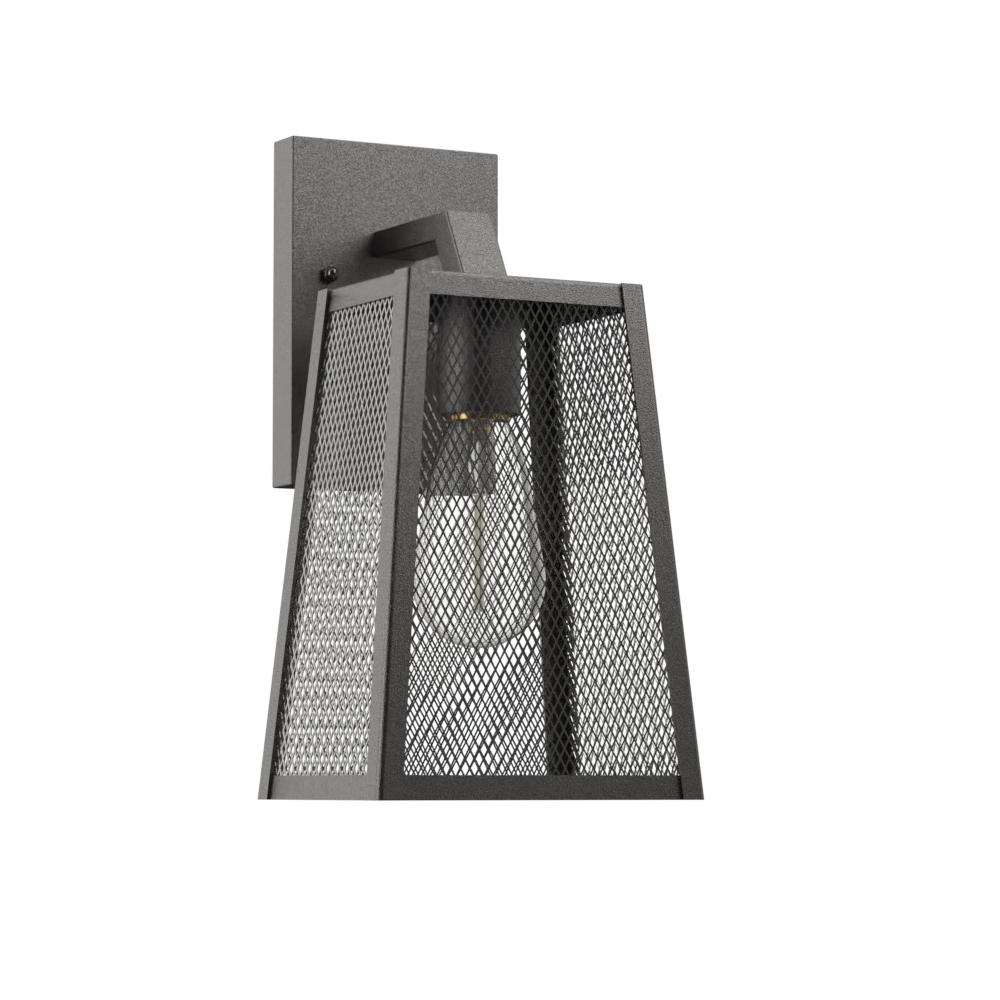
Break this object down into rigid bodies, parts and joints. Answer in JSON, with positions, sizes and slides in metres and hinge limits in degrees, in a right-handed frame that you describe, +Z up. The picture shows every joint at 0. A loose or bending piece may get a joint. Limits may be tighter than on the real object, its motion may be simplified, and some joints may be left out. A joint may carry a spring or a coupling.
{
  "type": "outdoor wall sconce",
  "caption": "Wall lantern with a tapered frame of corner angles and diamond mesh, hung from a bent box arm on a folded rectangular wall plate, with a pear-shaped screw-in bulb.",
  "frame": {"origin": "wall plane at the middle of the mounting strap, halfway between the two box-screw slots", "axes": "+X to the right for someone facing the light, +Y into the wall, +Z up"},
  "size_m": [0.173, 0.1755, 0.3281],
  "materials": {
    "coated_steel": "fine textured dark bronze powder coat, semi-gloss",
    "coated_mesh": "expanded metal in the same dark powder coat",
    "zinc_plated_steel": "bright zinc plate",
    "green_screw": "green earth screw",
    "porcelain": "white glazed porcelain",
    "contact_brass": "plain brass sheet",
    "bulb_brass": "bright brass screw cap",
    "solder_tip": "dull solder",
    "bulb_insulator": "black insulating ring",
    "bulb_glass": "clear glass with a faint amber tint",
    "stem_glass": "clear glass stem",
    "carrier_wire": "plain wire",
    "light_strip": "pale yellow light strip"
  },
  "bodies": {
    "fixture": {"back_plate": "coated_steel", "arm_tube": "coated_steel", "arm_leg": "coated_steel", "roof_pan": "coated_steel", "post_front_left": "coated_steel", "post_front_right": "coated_steel", "post_rear_left": "coated_steel", "post_rear_right": "coated_steel", "rail_front": "coated_steel", "rail_rear": "coated_steel", "rail_left": "coated_steel", "rail_right": "coated_steel", "mesh_front": "coated_mesh", "mesh_rear": "coated_mesh", "mesh_left": "coated_mesh", "mesh_right": "coated_mesh", "socket_cup": "coated_steel", "mounting_strap": "zinc_plated_steel", "mounting_studs": "zinc_plated_steel", "stud_locknuts": "zinc_plated_steel", "arm_foot_plate": "zinc_plated_steel", "threaded_nipple": "zinc_plated_steel", "nipple_nut": "zinc_plated_steel", "holder_bushing": "zinc_plated_steel", "ground_screw": "green_screw", "lamp_holder": "porcelain", "screw_shell": "contact_brass", "centre_contact": "contact_brass"},
    "cap_nut_left": {"cap_nut_left": "coated_steel"},
    "cap_nut_right": {"cap_nut_right": "coated_steel"},
    "bulb": {"bulb_cap": "bulb_brass", "bulb_ring": "bulb_insulator", "bulb_tip": "solder_tip", "bulb_glass": "bulb_glass", "bulb_stem": "stem_glass", "strip_carrier": "carrier_wire", "light_strips": "light_strip"}
  },
  "joints": [
    {"name": "cap_nut_left_off", "type": "slide", "parent": "fixture", "child": "cap_nut_left", "axis": [0, -1, 0], "range_m": [0, 0.012]},
    {"name": "cap_nut_right_off", "type": "slide", "parent": "fixture", "child": "cap_nut_right", "axis": [0, -1, 0], "range_m": [0, 0.012]},
    {"name": "bulb_out", "type": "slide", "parent": "fixture", "child": "bulb", "axis": [0, 0, -1], "range_m": [0, 0.215]}
  ]
}
